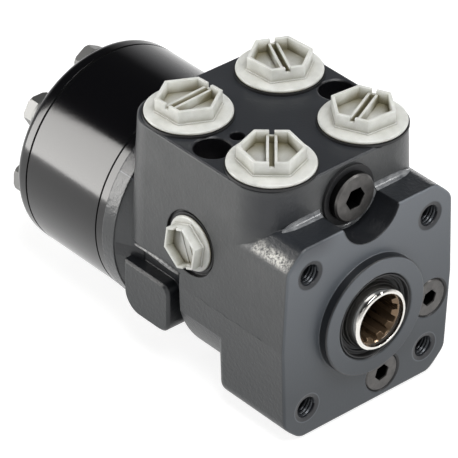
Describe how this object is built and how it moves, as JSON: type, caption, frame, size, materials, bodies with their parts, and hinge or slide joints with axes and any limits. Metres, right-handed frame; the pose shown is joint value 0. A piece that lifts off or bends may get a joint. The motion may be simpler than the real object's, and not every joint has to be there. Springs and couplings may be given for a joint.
{
  "type": "orbital steering unit",
  "caption": "Hydraulic orbital steering unit: cast housing with a rotary spool valve, plugged ports on top and a gerotor metering set bolted to the rear.",
  "frame": {"origin": "shaft axis at the front mounting face", "axes": "-Y out of the mounting face towards the steering column, +Y to the gear set, +Z out of the port face, +X to the right seen from the column"},
  "size_m": [0.0888, 0.1667, 0.1092],
  "materials": {
    "housing_paint": "satin slate-grey paint over cast iron",
    "gear_paint": "glossy black paint over machined steel",
    "hardened_steel": "ground and polished steel",
    "spring_steel": "rolled spring steel",
    "plated_steel": "zinc plated",
    "dark_steel": "black oxide",
    "plug_plastic": "pale moulded plastic",
    "black_rubber": "matt black rubber"
  },
  "bodies": {
    "housing": {"housing": "housing_paint", "check_ball_stop": "dark_steel", "check_bush": "dark_steel", "cover_bolts": "plated_steel", "cover_seal_ring": "black_rubber", "cover_washers": "plated_steel", "distributor_plate": "gear_paint", "dust_seal": "black_rubber", "end_cover": "gear_paint", "front_bearing_race": "hardened_steel", "gear_ring": "gear_paint", "housing_seal_ring": "black_rubber", "left_front_port_gasket": "black_rubber", "left_front_port_plug": "plug_plastic", "left_rear_port_gasket": "black_rubber", "left_rear_port_plug": "plug_plastic", "left_shock_spring": "spring_steel", "pin_bolt": "plated_steel", "plate_seal_ring": "black_rubber", "relief_adjuster": "dark_steel", "relief_plug": "dark_steel", "relief_seat": "hardened_steel", "relief_spring": "spring_steel", "relief_washer": "dark_steel", "right_front_port_gasket": "black_rubber", "right_front_port_plug": "plug_plastic", "right_rear_port_gasket": "black_rubber", "right_rear_port_plug": "plug_plastic", "right_shock_spring": "spring_steel", "shaft_seal": "black_rubber", "shock_adjusters": "dark_steel", "side_port_gasket": "black_rubber", "side_port_plug": "plug_plastic", "suction_plugs": "dark_steel"},
    "sleeve": {"sleeve": "hardened_steel", "cross_pin": "hardened_steel", "flat_leaf_springs": "spring_steel", "curved_leaf_springs": "spring_steel", "spring_ring": "spring_steel", "rear_bearing_race": "hardened_steel"},
    "spool": {"spool": "hardened_steel"},
    "bearing_cage": {"bearing_cage": "spring_steel", "bearing_needles": "hardened_steel"},
    "spacer": {"spacer": "hardened_steel"},
    "rotor": {"gear_rotor": "hardened_steel"},
    "cardan": {"cardan_shaft": "hardened_steel"},
    "relief_poppet": {"relief_poppet": "hardened_steel"},
    "left_shock_poppet": {"left_shock_poppet": "hardened_steel"},
    "right_shock_poppet": {"right_shock_poppet": "hardened_steel"},
    "upper_suction_ball": {"upper_suction_ball": "hardened_steel"},
    "lower_suction_ball": {"lower_suction_ball": "hardened_steel"},
    "check_ball": {"check_ball": "hardened_steel"}
  },
  "joints": [
    {"name": "steering_turn", "type": "hinge", "parent": "housing", "child": "sleeve", "pos_m": [0, 0.05, 0], "axis": [0, 1, 0], "continuous": true},
    {"name": "valve_deflection", "type": "hinge", "parent": "sleeve", "child": "spool", "pos_m": [0, 0.05, 0], "axis": [0, 1, 0], "range_deg": [-10, 10], "stiffness_Nm_per_rad": 8, "deforming": ["flat_leaf_springs", "curved_leaf_springs"]},
    {"name": "bearing_roll", "type": "hinge", "parent": "housing", "child": "bearing_cage", "pos_m": [0, 0.0105, 0], "axis": [0, 1, 0], "continuous": true},
    {"name": "gear_orbit", "type": "hinge", "parent": "housing", "child": "spacer", "pos_m": [0, 0.1243, 0], "axis": [0, 1, 0], "continuous": true},
    {"name": "rotor_spin", "type": "hinge", "parent": "spacer", "child": "rotor", "pos_m": [0, 0.1243, -0.0034], "axis": [0, 1, 0], "continuous": true},
    {"name": "cardan_spin", "type": "hinge", "parent": "spacer", "child": "cardan", "pos_m": [0, 0.043, 0], "axis": [0, 0.9988, -0.0492], "continuous": true},
    {"name": "relief_lift", "type": "slide", "parent": "housing", "child": "relief_poppet", "axis": [0, -1, 0], "range_m": [0, 0.0015], "stiffness_N_per_m": 4000, "springref_m": -0.002, "deforming": ["relief_spring"]},
    {"name": "left_shock_lift", "type": "slide", "parent": "housing", "child": "left_shock_poppet", "axis": [0, 0, 1], "range_m": [0, 0.0012], "stiffness_N_per_m": 4000, "springref_m": -0.002, "deforming": ["left_shock_spring"]},
    {"name": "right_shock_lift", "type": "slide", "parent": "housing", "child": "right_shock_poppet", "axis": [0, 0, 1], "range_m": [0, 0.0012], "stiffness_N_per_m": 4000, "springref_m": -0.002, "deforming": ["right_shock_spring"]},
    {"name": "upper_suction_lift", "type": "slide", "parent": "housing", "child": "upper_suction_ball", "axis": [0, -1, 0], "range_m": [0, 0.0012]},
    {"name": "lower_suction_lift", "type": "slide", "parent": "housing", "child": "lower_suction_ball", "axis": [0, -1, 0], "range_m": [0, 0.0012]},
    {"name": "check_lift", "type": "slide", "parent": "housing", "child": "check_ball", "axis": [0, 0, 1], "range_m": [0, 0.00115]}
  ],
  "couplings": [
    {"joint": "bearing_roll", "follows": "steering_turn", "ratio": 0.5},
    {"joint": "gear_orbit", "follows": "steering_turn", "ratio": -6},
    {"joint": "rotor_spin", "follows": "steering_turn", "ratio": 7},
    {"joint": "cardan_spin", "follows": "steering_turn", "ratio": 7}
  ]
}
